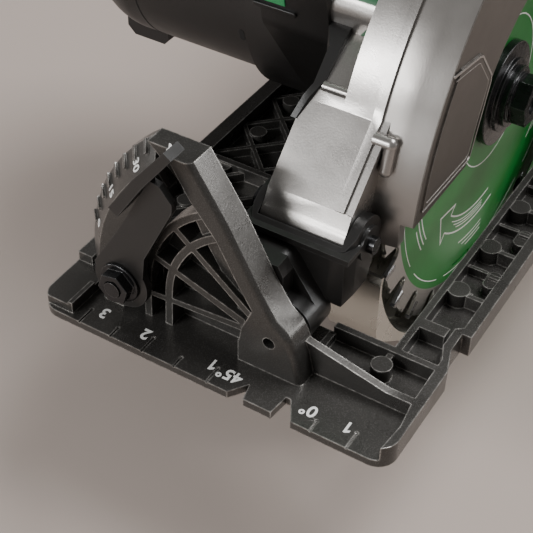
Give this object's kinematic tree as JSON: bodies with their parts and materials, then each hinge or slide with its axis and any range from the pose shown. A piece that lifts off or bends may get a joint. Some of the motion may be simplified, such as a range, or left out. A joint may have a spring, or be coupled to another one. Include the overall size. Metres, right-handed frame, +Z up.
{
  "type": "circular saw",
  "caption": "Cordless circular saw with a bevel bracket at the front of its base, a swinging lower guard, a depth pivot, a loop handle and a slide-on battery.",
  "frame": {"origin": "on the sole, in the blade's plane, under the middle of the bevel bracket", "axes": "+X is the cutting direction, +Y is the blade side, +Z is up from the sole"},
  "size_m": [0.322, 0.2056, 0.2461],
  "materials": {
    "base_alloy": "satin metallic paint",
    "black_plastic": "satin",
    "black_steel": "satin",
    "blade_steel": "ground",
    "cell": "wrapped",
    "copper": "enamelled",
    "core_steel": "plain",
    "green_plastic": "satin",
    "guard_alloy": "satin",
    "guard_dark": "satin",
    "guard_sheet": "satin",
    "rubber": "matte",
    "zinc_steel": "satin"
  },
  "bodies": {
    "base": {"base_plate": "base_alloy", "rear_pivot_post": "black_steel", "post_rivets": "zinc_steel"},
    "guide_screw": {"fence_screw": "zinc_steel"},
    "tilt_frame": {"hinge_bracket": "black_steel", "bevel_pivot_pin": "zinc_steel", "depth_pivot_pin": "zinc_steel", "depth_link": "black_steel", "rear_pivot_pin": "zinc_steel", "clamp_bolt": "zinc_steel", "clamp_washer": "black_steel"},
    "bevel_clamp": {"bevel_lever": "black_steel", "clamp_nut": "zinc_steel"},
    "saw": {"blade_case": "guard_alloy", "guard_cover": "guard_dark", "gear_housing": "guard_alloy", "motor_housing": "black_plastic", "motor_end_cap": "black_plastic", "handle_left": "green_plastic", "handle_right": "green_plastic", "handle_grip": "rubber", "handle_screws": "zinc_steel", "front_grip_core": "black_plastic", "front_grip": "rubber", "trigger_switch": "black_plastic", "controller_board": "black_plastic", "battery_dock": "black_plastic", "terminal_block": "black_plastic", "hook_pin": "zinc_steel", "dust_port": "black_plastic", "spindle_bearings": "zinc_steel", "motor_bearings": "zinc_steel", "stator_core": "core_steel", "stator_coils": "copper", "depth_clamp_bolt": "zinc_steel", "guard_spring": "zinc_steel", "trigger_spring": "zinc_steel"},
    "swing_guard": {"lower_guard": "guard_sheet", "guard_lever": "rubber"},
    "blade_group": {"spindle": "zinc_steel", "drive_gear": "core_steel", "inner_flange": "black_steel", "outer_flange": "black_steel", "arbor_bolt": "black_steel", "saw_blade": "blade_steel", "carbide_tips": "blade_steel"},
    "rotor": {"motor_shaft": "zinc_steel", "rotor_core": "core_steel", "cooling_fan": "black_plastic"},
    "trigger": {"trigger": "black_plastic"},
    "lock_button": {"lock_button": "black_plastic"},
    "spindle_lock": {"spindle_lock": "zinc_steel"},
    "rafter_hook": {"rafter_hook": "black_steel"},
    "depth_clamp": {"depth_lever": "black_steel"},
    "battery": {"battery_case": "black_plastic", "battery_lid": "black_plastic", "battery_cells": "cell"},
    "latch_left": {"battery_latch_left": "black_plastic"},
    "latch_right": {"battery_latch_right": "black_plastic"}
  },
  "joints": [
    {"name": "bevel_tilt", "type": "hinge", "parent": "base", "child": "tilt_frame", "pos_m": [0, -0.0109, 0.0162], "axis": [-1, 0, 0], "range_deg": [0, 45]},
    {"name": "cut_depth", "type": "hinge", "parent": "tilt_frame", "child": "saw", "pos_m": [-0.03, 0, 0.0385], "axis": [0, 1, 0], "range_deg": [-1, 34]},
    {"name": "bevel_lever_turn", "type": "hinge", "parent": "tilt_frame", "child": "bevel_clamp", "pos_m": [0.008, -0.06447, 0.01995], "axis": [1, 0, 0], "range_deg": [0, 50]},
    {"name": "depth_lever_turn", "type": "hinge", "parent": "saw", "child": "depth_clamp", "pos_m": [-0.22, -0.029, 0.06], "axis": [0, 1, 0], "range_deg": [0, 30]},
    {"name": "guide_screw_turn", "type": "hinge", "parent": "base", "child": "guide_screw", "pos_m": [-0.261, -0.074, 0.012], "axis": [0, 0, 1], "range_deg": [-180, 180]},
    {"name": "blade_spin", "type": "hinge", "parent": "saw", "child": "blade_group", "pos_m": [-0.14, 0, 0.032], "axis": [0, 1, 0], "continuous": true},
    {"name": "rotor_spin", "type": "hinge", "parent": "saw", "child": "rotor", "pos_m": [-0.14297, 0, 0.06286], "axis": [0, 1, 0], "continuous": true},
    {"name": "guard_swing", "type": "hinge", "parent": "saw", "child": "swing_guard", "pos_m": [-0.14, 0, 0.032], "axis": [0, 1, 0], "range_deg": [0, 105], "stiffness_Nm_per_rad": 0.08, "springref_deg": -91.67},
    {"name": "trigger_pull", "type": "slide", "parent": "saw", "child": "trigger", "axis": [0, 0, 1], "range_m": [0, 0.006], "stiffness_N_per_m": 800, "springref_m": -0.004, "deforming": ["trigger_spring"]},
    {"name": "lock_push", "type": "slide", "parent": "saw", "child": "lock_button", "axis": [0, 1, 0], "range_m": [-0.003, 0.003], "stiffness_N_per_m": 600},
    {"name": "spindle_lock_push", "type": "slide", "parent": "saw", "child": "spindle_lock", "axis": [-1, 0, 0], "range_m": [0, 0.003], "stiffness_N_per_m": 600, "springref_m": -0.003},
    {"name": "hook_swing", "type": "hinge", "parent": "saw", "child": "rafter_hook", "pos_m": [-0.246, -0.0732, 0.125], "axis": [0, 0, 1], "range_deg": [-90, 0]},
    {"name": "battery_slide", "type": "slide", "parent": "saw", "child": "battery", "axis": [-1, 0, 0], "range_m": [0, 0.12]},
    {"name": "latch_left_push", "type": "slide", "parent": "battery", "child": "latch_left", "axis": [0, -1, 0], "range_m": [0, 0.001], "stiffness_N_per_m": 500, "springref_m": -0.001},
    {"name": "latch_right_push", "type": "slide", "parent": "battery", "child": "latch_right", "axis": [0, 1, 0], "range_m": [0, 0.001], "stiffness_N_per_m": 500, "springref_m": -0.001}
  ],
  "couplings": [
    {"joint": "rotor_spin", "follows": "blade_spin", "ratio": -3.4286}
  ]
}
